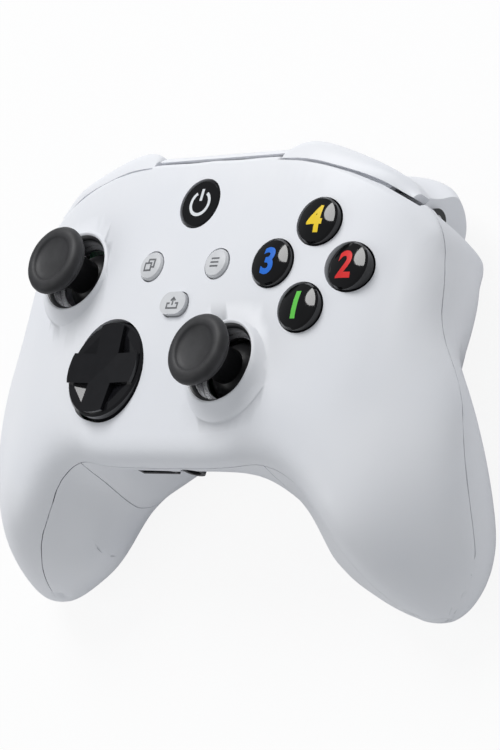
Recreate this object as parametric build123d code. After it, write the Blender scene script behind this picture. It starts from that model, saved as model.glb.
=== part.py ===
from build123d import *
import os
from math import cos, hypot, radians, sin

os.makedirs("parts", exist_ok=True)

# Frame used while building: X to the player's right, Y towards the bumpers, Z out of the face.
# The face centre is at zero. Every piece is turned at the end so that it lies on its battery door.
# Lengths are in millimetres and angles in degrees.

# Overall size of the body
half_width = 76.5
grip_reach = 56.3
grip_drop = 50.6
wall = 2.2
rest_tilt = 10
rest_y = 5.5
rest_depth = 43.25

# Gaps and shared small sizes
seam = 0.3
slack = 0.3
running = 0.06
overrun = 80.0
edge = 0.4

# Curvature of the face: how far it falls at the flanks and along the bow
crown_drop = 4.74
flank_drop = 17.5
bow_drop = 5.23
bow_y = 30.4

# Places on the face
left_stick_at = (-37.8, 14.0)
right_stick_at = (19.2, -9.8)
dpad_at = (-19.2, -10.8)
cluster_at = (37.8, 14.0)
cluster_pitch = 10.2
home_at = (0, 29.5)
view_at = (-10.7, 14.1)
menu_at = (10.7, 14.1)
share_at = (0, 4.5)

# Levels of the main board
board_top = -18.0
board_thick = 1.6
board_low = board_top - board_thick

# Body stations from the middle plane out to the grip tip, as shares of the overall sizes.
# Each section stands on the line from an inner to an outer point of the plan.
# inner x, inner y, outer x, outer y, inner seam, outer seam, inner back, middle back, outer back,
# lean, tuck, end drop, heel, inner round, outer round, back round
station_shares = (
    (0, -0.568, 0, 0.746, -0.237, -0.138, -0.9, -0.82, -0.534, -0.237, 0.02, 0, 0.22, 0.12, 0.05, 0.09),
    (0.196, -0.565, 0.196, 0.746, -0.237, -0.138, -0.9, -0.82, -0.534, -0.217, 0.02, 0, 0.22, 0.12, 0.05, 0.09),
    (0.353, -0.54, 0.418, 0.723, -0.257, -0.158, -0.89, -0.78, -0.543, 0.05, 0.02, 0, 0.2, 0.12, 0.05, 0.09),
    (0.438, -0.542, 0.634, 0.645, -0.287, -0.188, -0.91, -0.74, -0.593, 0.138, 0.016, 0, 0.16, 0.14, 0.06, 0.08),
    (0.497, -0.586, 0.791, 0.547, -0.316, -0.227, -0.93, -0.76, -0.652, 0.217, 0.01, 0, 0.15, 0.16, 0.1, 0.09),
    (0.549, -0.657, 0.88, 0.249, -0.366, -0.306, -0.958, -0.8, -0.672, 0.237, 0.089, 0, 0.15, 0.18, 0.18, 0.16),
    (0.601, -0.742, 0.95, -0.053, -0.429, -0.395, -0.984, -0.87, -0.721, 0.198, 0.089, 0, 0.15, 0.18, 0.18, 0.16),
    (0.654, -0.835, 0.99, -0.355, -0.504, -0.504, -0.996, -0.93, -0.84, 0.109, 0.04, 0, 0.18, 0.18, 0.18, 0.11),
    (0.706, -0.911, 1, -0.586, -0.613, -0.642, -1, -0.968, -0.939, 0.069, 0.006, 0.059, 0.22, 0.16, 0.16, 0.07),
    (0.758, -0.968, 0.986, -0.773, -0.761, -0.771, -0.994, -0.984, -0.974, 0.04, 0, 0.188, 0.28, 0.13, 0.13, 0.055),
    (0.814, -0.998, 0.931, -0.92, -0.874, -0.87, -0.966, -0.966, -0.958, 0.006, 0, 0.346, 0.36, 0.063, 0.063, 0.036),
    (0.86, -0.999, 0.904, -0.97, -0.889, -0.889, -0.921, -0.921, -0.921, 0, 0, 0.336, 0.4, 0.016, 0.016, 0.016),
)
inner_station_count = 10

# Thicker places inside the grips: x range, y range, z range
grip_pads = (
    ((65.9, 80.0), (-2.0, 10.5), (-25.0, -13.0)),
    ((54.5, 67.0), (-18.0, -3.0), (-50.0, -34.0)),
    ((30.0, 41.6), (-51.0, -37.5), (-40.0, -26.5)),
)

# Upright split between rear shell and side grip, in plan
split_low = (30.0, -31.0)
split_high = (46.0, 30.0)


def face_height(x, y):
    across = x / half_width
    along = (y - bow_y) / grip_reach
    return -crown_drop * across**2 - flank_drop * across**4 - bow_drop * along**2


def toward(a, b):
    """The direction from one point of a plane to another, with length one."""
    run = (b[0] - a[0], b[1] - a[1])
    length = hypot(*run)
    return (run[0] / length, run[1] / length)


def plan_line(row):
    inner = (row[0] * half_width, row[1] * grip_reach)
    outer = (row[2] * half_width, row[3] * grip_reach)
    return inner, toward(inner, outer), hypot(outer[0] - inner[0], outer[1] - inner[1])


# Shape of the sections between their nodes
half_share = 0.5
back_share = 0.55
lean_share = 0.9
waist_share = 0.42
handle_share = 0.333
turn_share = 0.22
least_share = 0.3


def section(row, inset, side):
    """One closed section of the body, made of tangent curves round nine nodes."""
    (start_x, start_y), (dir_x, dir_y), length = plan_line(row)
    start_x += dir_x * inset
    start_y += dir_y * inset
    length -= 2 * inset
    inner_seam, outer_seam = row[4] * grip_drop, row[5] * grip_drop
    inner_back, middle_back, outer_back = [share * grip_drop + inset for share in row[6:9]]
    lean, tuck, end_drop = [share * grip_drop for share in row[9:12]]
    heel_share = row[12]
    inner_round, outer_round, back_round = [share * grip_drop for share in row[13:16]]

    def top(s):
        return face_height(start_x + dir_x * s, start_y + dir_y * s) - end_drop - inset

    def top_node(s):
        return (s, top(s)), toward((s - wall, top(s - wall)), (s + wall, top(s + wall)))

    outer_corner = (length - tuck - back_round, outer_back)
    back_middle = (length * back_share, middle_back)
    heel = (length * heel_share, inner_back)
    waist = (-lean * lean_share, inner_back + waist_share * (inner_seam - inner_back))
    waist_rise = toward(waist, (0, inner_seam))
    heel_out = (heel[0] - inner_round, inner_back + edge)
    nodes = (
        ((0, inner_seam), (0, 1)),
        top_node(inner_round),
        top_node(length * half_share),
        top_node(length - outer_round),
        ((length, outer_seam), (0, -1)),
        (outer_corner, toward(outer_corner, back_middle)),
        (back_middle, toward(outer_corner, heel)),
        (heel, toward(back_middle, heel_out)),
        (waist, toward((0, 0), (waist_rise[0] * half_share, waist_rise[1]))),
    )
    curves = []
    for (a, along_a), (b, along_b) in zip(nodes, nodes[1:] + nodes[:1]):
        chord = (b[0] - a[0], b[1] - a[1])
        turn = abs(along_a[0] * along_b[1] - along_a[1] * along_b[0])
        reach = handle_share + turn_share * turn**2
        least = least_share * hypot(*chord)
        reach_a = reach * max(abs(chord[0] * along_a[0] + chord[1] * along_a[1]), least)
        reach_b = reach * max(abs(chord[0] * along_b[0] + chord[1] * along_b[1]), least)
        controls = (
            a,
            (a[0] + along_a[0] * reach_a, a[1] + along_a[1] * reach_a),
            (b[0] - along_b[0] * reach_b, b[1] - along_b[1] * reach_b),
            b,
        )
        points = [(side * (start_x + dir_x * s), start_y + dir_y * s, z) for s, z in controls]
        curves.append(Bezier(*points))
    return Face(Wire(curves))


def mirrored_stations(rows):
    return [(row, -1) for row in rows[::-1]] + [(row, 1) for row in rows[1:]]


def body_form(inset, count):
    rows = station_shares[:count]
    return loft([section(row, inset, side) for row, side in mirrored_stations(rows)])


def above_seam(shift):
    """Everything of the body above the line where the front shell meets the rest."""
    reach = 3 * wall
    ceiling = 10 * wall
    slabs = []
    for row, side in mirrored_stations(station_shares + (None,)):
        beyond = row is None
        row = row or station_shares[-1]
        (x, y), (dir_x, dir_y), length = plan_line(row)
        if beyond:
            x += dir_y * 2 * wall
            y -= dir_x * 2 * wall
        inner_z = row[4] * grip_drop + shift
        outer_z = row[5] * grip_drop + shift
        corners = ((-reach, inner_z), (length + reach, outer_z), (length + reach, ceiling), (-reach, ceiling))
        points = [(side * (x + dir_x * s), y + dir_y * s, z) for s, z in corners]
        slabs.append(Face(Polyline(*points, close=True)))
    return loft(slabs)


def block(x_range, y_range, z_range):
    size = [max(ends) - min(ends) for ends in (x_range, y_range, z_range)]
    middle = [sum(ends) / 2 for ends in (x_range, y_range, z_range)]
    return Pos(*middle) * Box(*size)


def around(middle, half):
    return (middle - half, middle + half)


def rod(x, y, radius, z_low, z_high):
    return Pos(x, y, (z_low + z_high) / 2) * Cylinder(radius, z_high - z_low)


def x_rod(y, z, radius, x_low, x_high):
    return Pos((x_low + x_high) / 2, y, z) * Rot(0, 90, 0) * Cylinder(radius, x_high - x_low)


def y_rod(x, z, radius, y_low, y_high):
    return Pos(x, (y_low + y_high) / 2, z) * Rot(90, 0, 0) * Cylinder(radius, y_high - y_low)


def turned(outline):
    """A body of revolution round Z from an outline of radius and height."""
    return revolve(Face(Polyline(*[(radius, 0, height) for radius, height in outline], close=True)), Axis.Z)


def yz_prism(points, x_low, x_high):
    profile = Face(Polyline(*[(x_low, y, z) for y, z in points], close=True))
    return extrude(profile, x_high - x_low, dir=(1, 0, 0))


def mirror_x(shape):
    return mirror(shape, about=Plane.YZ)


rest_frame = Pos(0, rest_y, -rest_depth) * Rot(rest_tilt, 0, 0)
lay_down = Rot(-rest_tilt, 0, 0) * Pos(0, -rest_y, rest_depth)


def save(name, *shapes):
    solids = [solid for shape in shapes for solid in (lay_down * shape).solids()]
    piece = solids[0] if len(solids) == 1 else Compound(children=solids)
    export_step(piece, f"parts/{name}.step")


# Body, its cavity and the parting
outer_form = body_form(0, len(station_shares))
inner_form = body_form(wall, inner_station_count)
mid_form = body_form(wall / 2, inner_station_count)
clear_form = body_form(wall + slack, inner_station_count)
skin = outer_form - inner_form
for pad in grip_pads:
    thick = outer_form & block(*pad)
    skin = skin + thick + mirror_x(thick)

# Battery door, in the frame of the rest face
door_half = (31.5, 17.6)
door_corner = 4.0
door_thick = 2.0
door_rim = 1.3
door_rim_height = 5.0


def door_block(grow, z_low, z_high):
    outline = RectangleRounded(2 * (door_half[0] + grow), 2 * (door_half[1] + grow), door_corner + grow)
    return Pos(0, 0, z_low) * extrude(outline, z_high - z_low)


door_plate = door_block(0, 0, door_thick)
battery_door = chamfer(door_plate.edges().group_by(Axis.Z)[0], 2 * edge)
battery_door = battery_door + door_block(0, 2 * edge, door_rim_height) - door_block(-door_rim, door_thick, overrun)
save("battery_door", rest_frame * battery_door)
door_opening = rest_frame * door_block(seam, -overrun, door_rim_height + 2 * wall)

# Bumpers: stations from the bridge out to the corner of the shell
# inner x, inner y, outer x, outer y, top, side start
bumper_stations = (
    (21.1, 40.6, 21.3, 43.0, -1.6, -4.2),
    (23.6, 40.5, 23.8, 45.4, -1.7, -5.4),
    (28.4, 40.2, 28.8, 45.9, -1.9, -5.8),
    (35.2, 39.1, 36.6, 44.1, -2.8, -6.6),
    (43.2, 37.3, 45.6, 41.1, -4.3, -7.8),
    (51.0, 35.0, 53.2, 37.9, -6.6, -9.4),
    (57.6, 32.2, 58.8, 33.4, -9.3, -10.8),
)
bumper_room_first = (20.9, 40.6, 21.0, 43.0, -1.6, -4.2)
bumper_room_last = (60.2, 31.0, 62.2, 33.4, -10.0, -11.0)
bumper_low = -13.4
bumper_wall = 1.5
bumper_fall_share = 0.12
bumper_handle_share = 0.6
bumper_flange_reach = 2.0
bumper_gap = 0.9
lip = 1.6
bay_top = -13.9
bumper_pivot = (18.5, 42.95)
bumper_pin = 0.8
bumper_eye = 1.3
tongue_z = (-12.0, -9.0)
tongue_half = 0.7
tongue_room_x = (16.6, 21.4)
tongue_room_y = (41.2, 43.4)


def bumper_section(station, inset, low):
    inner_x, inner_y, outer_x, outer_y, top, side_start = station
    along = toward((inner_x, inner_y), (outer_x, outer_y))
    width = hypot(outer_x - inner_x, outer_y - inner_y)
    a, b = inset, width - inset
    crown, turn = top - inset, side_start - inset
    handle = (b - a) * bumper_handle_share
    rise = (crown - turn) * bumper_handle_share

    def place(s, z):
        return (inner_x + along[0] * s, inner_y + along[1] * s, z)

    curve = Bezier(
        place(a, crown), place(a + handle, crown - handle * bumper_fall_share), place(b, turn + rise), place(b, turn)
    )
    sides = Polyline(place(b, turn), place(b, low), place(a, low), place(a, crown))
    return Face(Wire([curve] + sides.edges()))


def strip(s_range, low_at, high_at, stations):
    """A band that follows the bumper's plan line, between two heights measured from its top."""
    faces = []
    for row in stations:
        along = toward(row[0:2], row[2:4])
        low, high = low_at(row), high_at(row)
        corners = ((s_range[0], low), (s_range[1], low), (s_range[1], high), (s_range[0], high))
        points = [(row[0] + along[0] * s, row[1] + along[1] * s, z) for s, z in corners]
        faces.append(Face(Polyline(*points, close=True)))
    return loft(faces, ruled=True)


def bay_floor(row):
    return bay_top


def bay_ceiling(row):
    return wall


def under_lip(row):
    return row[4] - lip


def flange_top(row):
    return row[4] - lip - slack


def flange_low(row):
    return row[4] - 2 * lip - slack


room_stations = (bumper_room_first,) + bumper_stations[1:-1] + (bumper_room_last,)
tongue_room_z = (tongue_z[0] - slack, tongue_z[1] + slack)
bumper_bay = strip((-bumper_gap, overrun / 4), bay_floor, bay_ceiling, room_stations)
bumper_bay = bumper_bay + strip((-bumper_flange_reach - 2 * bumper_gap, 0), bay_floor, under_lip, room_stations)
bumper_bay = bumper_bay + block(tongue_room_x, tongue_room_y, tongue_room_z)

right_bumper = loft([bumper_section(row, 0, bumper_low) for row in bumper_stations])
right_bumper = right_bumper - loft([bumper_section(row, bumper_wall, bumper_low - lip) for row in bumper_stations[1:-1]])
right_bumper = right_bumper + strip((-bumper_flange_reach, bumper_wall / 2), flange_low, flange_top, bumper_stations[:-1])
tongue_x = (bumper_pivot[0], bumper_stations[0][0] + bumper_wall)
right_bumper = right_bumper + block(tongue_x, around(bumper_pivot[1], tongue_half), tongue_z)
right_bumper = right_bumper + rod(*bumper_pivot, bumper_eye, *tongue_z)
right_bumper = right_bumper - rod(*bumper_pivot, bumper_pin + running, -overrun, overrun)
save("right_bumper", right_bumper)
save("left_bumper", mirror_x(right_bumper))

# Bridge between the bumpers, with the charge port's opening and the pairing button's hole
bridge_half = 20.7
bridge_low = -21.5
bridge_high = -2.6
bridge_back = 42.25
bridge_front = 45.6
bridge_shoulder = -10.5
bridge_wall = 1.5
bridge_toe = -20.0
boss_half = 0.9
tongue_depth = 44.5
port_z = -16.2
port_size = (9.0, 3.2)
pair_at = (12.0, -15.0)
pair_radius = 1.5


def bridge_form(inset, half):
    front, high = bridge_front - inset, bridge_high - inset
    crown = Bezier(
        (-half, bridge_back, high),
        (-half, (bridge_back + front) / 2, high - wall / 2),
        (-half, front, (bridge_high + bridge_shoulder) / 2),
        (-half, front, bridge_shoulder),
    )
    sides = Polyline(
        (-half, front, bridge_shoulder),
        (-half, front, bridge_toe + inset / 2),
        (-half, bridge_back, bridge_low + inset),
        (-half, bridge_back, high),
    )
    return extrude(Face(Wire([crown] + sides.edges())), 2 * half, dir=(1, 0, 0))


bumper_bridge = bridge_form(0, bridge_half) - bridge_form(bridge_wall, bridge_half - bridge_wall)
port_opening = block(
    around(0, port_size[0] / 2 + slack), (bridge_back, overrun), around(port_z, port_size[1] / 2 + slack)
)
bumper_bridge = bumper_bridge - port_opening - y_rod(*pair_at, pair_radius + slack, 0, overrun)
tongue_slot = block((-overrun, overrun), (bridge_back - wall, tongue_depth), tongue_room_z)
for side in (-1, 1):
    hinge_x = side * bumper_pivot[0]
    boss_z = (tongue_room_z[0] - 2 * boss_half, tongue_room_z[1] + 2 * boss_half)
    boss_y = (bridge_back + edge, bridge_front - bridge_wall / 2)
    bumper_bridge = bumper_bridge + block(around(hinge_x, boss_half), boss_y, boss_z)
bumper_bridge = bumper_bridge - tongue_slot
for side in (-1, 1):
    pin_z = (tongue_room_z[0] - boss_half, tongue_room_z[1] + boss_half)
    bumper_bridge = bumper_bridge + rod(side * bumper_pivot[0], bumper_pivot[1], bumper_pin, *pin_z)
save("bumper_bridge", bumper_bridge)
pair_flange = 0.8
pair_stand = 0.6
pair_body = y_rod(*pair_at, pair_radius, bridge_front - bridge_wall - pair_flange, bridge_front + pair_stand)
pair_flange_y = (bridge_front - bridge_wall - slack - pair_flange, bridge_front - bridge_wall - slack)
save("pair_button", pair_body + y_rod(*pair_at, pair_radius + pair_flange, *pair_flange_y))

# Triggers: profile round their pivot, at the inner end, the crown and the outer end
pivot_y = 30.5
pivot_z = -18.1
trigger_x = (37.3, 44.0, 57.0)
trigger_front = (42.6, 41.4, 34.6)
trigger_tip = ((45.8, -27.0), (45.4, -28.0), (38.5, -23.6))
trigger_foot = ((31.5, -31.6), (31.0, -32.0), (30.8, -29.4))
trigger_top = -14.1
trigger_heel = 29.8
trigger_hub = 2.4
trigger_wall = 1.7
trigger_pin = 1.2
trigger_hook_share = 0.55
bay_x = (35.8, 58.6)
bay_back = 27.6
bay_mid = -22.0
bay_low = -36.0
bay_slope = 0.24
bay_corner = (30.5, -10.0)


def bay_line(z):
    return bay_corner[0] + bay_slope * (z - bay_corner[1])


bay_outer = ((bay_line(bay_top), bay_top), (bay_line(bay_low), bay_low), (overrun, bay_low), (overrun, bay_top))
bay_inner = ((bay_back, bay_top), (bay_back, bay_mid)) + bay_outer[1:]
trigger_room = yz_prism(bay_outer, bay_x[0], overrun) + yz_prism(bay_inner, *bay_x)


def trigger_face(i, inset):
    x = trigger_x[i] + (inset, 0, -inset)[i]
    front = trigger_front[i] - inset
    top = trigger_top - inset
    tip_y, tip_z = trigger_tip[i][0] - inset, trigger_tip[i][1] + inset
    foot_y, foot_z = trigger_foot[i][0], trigger_foot[i][1] + inset
    drop = (trigger_top - trigger_tip[i][1]) * trigger_hook_share
    heel = trigger_heel - (overrun if inset else 0)
    upper = Bezier(
        (x, front, top),
        (x, front + trigger_hook_share, top - drop),
        (x, tip_y - inset, trigger_tip[i][1] + drop / 2),
        (x, tip_y, tip_z),
    )
    lower = Bezier(
        (x, tip_y, tip_z),
        (x, tip_y, tip_z - wall),
        (x, foot_y + (trigger_tip[i][0] - foot_y) * trigger_hook_share, foot_z),
        (x, foot_y, foot_z),
    )
    back = Polyline((x, foot_y, foot_z), (x, heel, foot_z), (x, heel, top), (x, front, top))
    return Face(Wire([upper, lower] + back.edges()))


right_trigger = loft([trigger_face(i, 0) for i in range(3)])
right_trigger = right_trigger - loft([trigger_face(i, trigger_wall) for i in range(3)])
for x in (trigger_x[0], trigger_x[-1] - trigger_wall):
    right_trigger = right_trigger + x_rod(pivot_y, pivot_z, trigger_hub, x, x + trigger_wall)
right_trigger = right_trigger - x_rod(pivot_y, pivot_z, trigger_pin + running, 0, overrun)
save("right_trigger", right_trigger)
save("left_trigger", mirror_x(right_trigger))

# Trigger brackets, pins, return springs and the small motors behind
ear_thick = 0.9
ear_radius = 2.7
bracket_y = (23.9, 25.1)
bracket_low = -30.4
bracket_x = (bay_x[0] + seam / 2, bay_x[1] - seam)
small_motor_at = (19.0, -26.3)
small_motor_radius = 3.8
small_motor_x = (38.0, 49.0)
small_weight_x = (50.6, 53.6)
motor_shaft = 0.8
saddle_thick = 1.4
saddle_at = (40.0, 46.0)
bracket = block(bracket_x, bracket_y, (bracket_low, board_low - slack)) & clear_form
for x in (bracket_x[0], bracket_x[1] - ear_thick):
    arm_outline = (
        (bracket_y[0], pivot_z - 3 * ear_radius),
        (pivot_y + ear_radius, pivot_z),
        (pivot_y - ear_radius, pivot_z),
        (bay_back + slack, board_low - slack),
        (bracket_y[0], board_low - slack),
    )
    bracket = bracket + yz_prism(arm_outline, x, x + ear_thick)
    bracket = bracket + x_rod(pivot_y, pivot_z, ear_radius, x, x + ear_thick)
for x in saddle_at:
    saddle_y = (small_motor_at[0], bracket_y[0] + edge)
    saddle = block((x, x + saddle_thick), saddle_y, around(small_motor_at[1], small_motor_radius))
    bracket = bracket + (saddle & clear_form)
bracket = bracket - x_rod(*small_motor_at, small_motor_radius + running, 0, overrun)
bracket = bracket - x_rod(pivot_y, pivot_z, trigger_pin, 0, overrun)
save("right_trigger_bracket", bracket)
save("left_trigger_bracket", mirror_x(bracket))
trigger_axle = x_rod(pivot_y, pivot_z, trigger_pin, *bracket_x)
save("trigger_pins", trigger_axle, mirror_x(trigger_axle))

coil_radius = 1.65
coil_wire = 0.4
coil_pitch = 0.9
coil_turns = 3
coil_start = 45.0
coil_path = Helix(coil_pitch, coil_pitch * coil_turns, coil_radius)
coil_path = Pos(coil_start, pivot_y, pivot_z) * Rot(0, 90, 0) * coil_path
wire_plane = Plane(origin=coil_path @ 0, z_dir=coil_path % 0)
spring = sweep(wire_plane * Rectangle(coil_wire, coil_wire), path=coil_path, is_frenet=True)
save("right_trigger_spring", spring)
save("left_trigger_spring", mirror_x(spring))

small_motor = x_rod(*small_motor_at, small_motor_radius, *small_motor_x)
small_motor = small_motor + x_rod(*small_motor_at, motor_shaft, small_motor_x[1], small_weight_x[1])
save("trigger_motors", small_motor, mirror_x(small_motor))
small_weight = x_rod(*small_motor_at, small_motor_radius, *small_weight_x)
small_weight = small_weight - block(
    (0, overrun), (small_motor_at[0] + 2 * motor_shaft, overrun), (-overrun, overrun)
)
small_weight = small_weight - x_rod(*small_motor_at, motor_shaft + running, 0, overrun)
save("right_trigger_weight", small_weight)
save("left_trigger_weight", mirror_x(small_weight))

# Front shell: stick collars, button holes, screw bosses
well_radius = 8.8
well_edge = 0.4
well_top_radius = 9.8
collar_rise = 1.9
collar_radius = 10.2
collar_foot = 13.6
collar_fall = 1.6
collar_low = 3.8
collar_wall = 1.5
liner_radius = 9.9
liner_high = 0.1
liner_low = 2.6
ring_high = 2.7
ring_low = 3.5
ring_inner = 7.6
stick_places = {"left": left_stick_at, "right": right_stick_at}

button_radius = 5.7
home_radius = 6.0
small_radius = 3.55
share_size = (8.2, 5.6)
dpad_radius = 11.9
dpad_gap = 0.5
cluster = {
    "top_button": (cluster_at[0], cluster_at[1] + cluster_pitch),
    "right_button": (cluster_at[0] + cluster_pitch, cluster_at[1]),
    "bottom_button": (cluster_at[0], cluster_at[1] - cluster_pitch),
    "left_button": (cluster_at[0] - cluster_pitch, cluster_at[1]),
}

head_radius = 2.1
head_height = 1.5
head_slot_half = 0.4
shank = 0.95
housing_screw_length = 9.0
board_screw_length = 11.0
board_screw_at = ((26.0, 27.0), (-21.0, 27.0), (-33.0, -2.0), (31.5, -7.0))
board_boss = 2.6
screw_core = 1.0
housing_screw_at = ((56.0, 8.0), (-56.0, 8.0), (49.0, -22.0), (-49.0, -22.0))
housing_boss = 3.0
housing_split = -26.0


def collar():
    """The raised rim round a thumb stick, over the local height of the face."""
    outer = liner_radius + collar_wall
    flank = Spline(
        (collar_radius, 0, collar_rise),
        (collar_foot - collar_wall, 0, -collar_fall / 4),
        (collar_foot, 0, -collar_fall),
    )
    lines = Polyline(
        (collar_foot, 0, -collar_fall),
        (collar_foot, 0, -collar_fall - wall / 2),
        (outer, 0, -collar_low),
        (liner_radius, 0, -collar_low),
        (liner_radius, 0, -liner_high),
        (well_radius, 0, -liner_high),
        (well_radius, 0, well_edge),
        (well_top_radius, 0, collar_rise),
        (collar_radius, 0, collar_rise),
    )
    return revolve(make_face([flank] + lines.edges()), Axis.Z)


shell_rooms = (bumper_bay, mirror_x(bumper_bay), trigger_room, mirror_x(trigger_room), door_opening)
open_skin = skin
for room in shell_rooms:
    open_skin = open_skin - room

front_shell = open_skin & above_seam(seam / 2)
for x, y in stick_places.values():
    front_shell = front_shell - rod(x, y, liner_radius + collar_wall / 2, -overrun, overrun)
    front_shell = front_shell + Pos(x, y, face_height(x, y)) * collar()
round_holes = [(place, button_radius + slack) for place in cluster.values()]
round_holes += [(home_at, home_radius + slack), (view_at, small_radius + slack), (menu_at, small_radius + slack)]
round_holes += [(dpad_at, dpad_radius + dpad_gap)]
for (x, y), radius in round_holes:
    front_shell = front_shell - rod(x, y, radius, -overrun, overrun)
share_outline = SlotOverall(share_size[0] + 2 * slack, share_size[1] + 2 * slack)
front_shell = front_shell - Pos(*share_at, 0) * extrude(share_outline, overrun, both=True)


def boss_under_roof(x, y, radius, low):
    boss = rod(x, y, radius, low, 0) - rod(x, y, screw_core, low, low + 2 * board_boss + housing_boss)
    return boss & mid_form


for x, y in board_screw_at:
    front_shell = front_shell + boss_under_roof(x, y, board_boss, board_top)
for x, y in housing_screw_at:
    front_shell = front_shell + boss_under_roof(x, y, housing_boss, housing_split)
save("front_shell", front_shell)

liners = []
rings = []
for x, y in stick_places.values():
    level = face_height(x, y)
    fitted = liner_radius - running
    liners.append(rod(x, y, fitted, level - liner_low, level - liner_high) - rod(x, y, well_radius, -overrun, overrun))
    rings.append(rod(x, y, fitted, level - ring_low, level - ring_high) - rod(x, y, ring_inner, -overrun, overrun))
save("well_liners", *liners)
save("stick_rings", *rings)

# Rear shell and side grips
split_dir = toward(split_low, split_high)
jack_at = (6.0, -15.2)
jack_barrel = 2.8
expansion_at = (-6.5, -15.6)
expansion_size = (12.0, 3.4)
port_wall_y = 33.0
edge_wall_y = -22.0
rib_thick = 1.6
rib_top = -20.6
rib_y = (-26.0, 13.5)
ear_low = housing_split - rib_thick
upper_ear_x = (36.0, 59.0)
upper_ear_y = (3.0, 12.5)
lower_ear_x = (30.0, 64.0)
lower_ear_y = (-42.0, -16.0)
motor_at = (59.0, -34.0)
motor_radius = 6.2
motor_y = (-44.0, -26.0)
weight_radius = 6.4
weight_y = (-24.6, -19.6)
weight_cut = 1.6
motor_saddle_half = 5.0
motor_saddle_rise = 2.0
motor_saddle_y = ((-41.0, -38.8), (-31.0, -28.8))


def beyond_split(shift):
    """The room on the outer side of the upright plane between rear shell and side grip."""
    out_x, out_y = split_dir[1], -split_dir[0]
    low = [split_low[i] - split_dir[i] * overrun for i in (0, 1)]
    high = [split_high[i] + split_dir[i] * overrun for i in (0, 1)]
    far = 2 * overrun
    corners = (
        (low[0] + out_x * shift, low[1] + out_y * shift),
        (low[0] + out_x * far, low[1] + out_y * far),
        (high[0] + out_x * far, high[1] + out_y * far),
        (high[0] + out_x * shift, high[1] + out_y * shift),
    )
    return Pos(0, 0, -overrun) * extrude(Face(Polyline(*corners, close=True)), far)


lower_skin = open_skin - above_seam(-seam / 2)
right_grip = lower_skin & beyond_split(seam / 2)
save("right_side_grip", right_grip)
save("left_side_grip", mirror_x(right_grip))

side_room = beyond_split(-seam / 2)
rear_shell = lower_skin - side_room - mirror_x(side_room)
port_hole = block(
    around(0, port_size[0] / 2 + 2 * slack), (port_wall_y, overrun), around(port_z, port_size[1] / 2 + 2 * slack)
)
expansion_hole = block(
    around(expansion_at[0], expansion_size[0] / 2 + slack),
    (-overrun, edge_wall_y),
    around(expansion_at[1], expansion_size[1] / 2 + slack),
)
rear_shell = rear_shell - port_hole - expansion_hole - y_rod(*jack_at, jack_barrel + slack, -overrun, 0)
rib = beyond_split(-seam / 2 - rib_thick) - side_room
rib = rib & block((0, overrun), rib_y, (-overrun, rib_top)) & mid_form
ears = block(upper_ear_x, upper_ear_y, (ear_low, housing_split)) + block(lower_ear_x, lower_ear_y, (ear_low, housing_split))
for saddle_y in motor_saddle_y:
    ears = ears + block(around(motor_at[0], motor_saddle_half), saddle_y, (motor_at[1] + motor_saddle_rise, ear_low))
ears = ears - y_rod(*motor_at, motor_radius + running, -overrun, overrun)
ears = ears & clear_form & beyond_split(-rib_thick)
for pad in grip_pads:
    ears = ears - block(*[(low - slack, high + slack) for low, high in pad])
for x, y in housing_screw_at:
    ears = ears - rod(x, y, screw_core + slack, -overrun, overrun)
side_structure = rib + ears
rear_shell = rear_shell + side_structure + mirror_x(side_structure)
save("rear_shell", rear_shell)

# Battery tray and board carrier
cell_radius = 7.25
cell_length = 50.5
cell_pitch = 15.2
cell_axis = 9.8
cell_nub = 2.75
cell_nub_length = 1.0
tray_wall = 1.4
contact_thick = 0.6
contact_half = 4.0
tray_x = cell_length / 2 + 2 * contact_thick + slack
tray_y = cell_pitch / 2 + cell_radius + slack
tray_top = cell_axis + cell_radius + slack
tray_low = door_rim_height + slack
carrier_low = -25.6
arm_half = 0.8
arm_low = -31.0
arm_back_y = 15.0
tray = block(around(0, tray_x + tray_wall), around(0, tray_y + tray_wall), (tray_low, tray_top + tray_wall))
mid_frame = rest_frame * tray
for x, y in board_screw_at:
    mid_frame = mid_frame + rod(x, y, board_boss, carrier_low, board_low)
    if y > 0:
        arm = block(around(x, arm_half), (arm_back_y, y), (carrier_low, board_low - slack))
    else:
        arm = block((x, tray_x if x > 0 else -tray_x), around(y, arm_half), (arm_low, board_low - slack))
    mid_frame = mid_frame + arm
for x, y in board_screw_at:
    mid_frame = mid_frame - rod(x, y, screw_core, -overrun, overrun)
    mid_frame = mid_frame - rod(x, y, head_radius + slack, -overrun, carrier_low)
mid_frame = mid_frame - rest_frame * block(around(0, tray_x), around(0, tray_y), (-overrun, tray_top))
save("mid_frame", mid_frame)

cells = []
contacts = []
for side in (-1, 1):
    y = side * cell_pitch / 2
    can_end = cell_length / 2 - cell_nub_length
    cell = x_rod(y, cell_axis, cell_radius, -cell_length / 2, can_end)
    cell = cell + x_rod(y, cell_axis, cell_nub, can_end, cell_length / 2)
    cells.append(rest_frame * (cell if side > 0 else mirror_x(cell)))
    for end in (-1, 1):
        plate_x = (end * (tray_x - contact_thick), end * tray_x)
        contacts.append(rest_frame * block(plate_x, around(y, contact_half), around(cell_axis, contact_half)))
save("battery_cells", *cells)
save("battery_contacts", *contacts)

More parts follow.
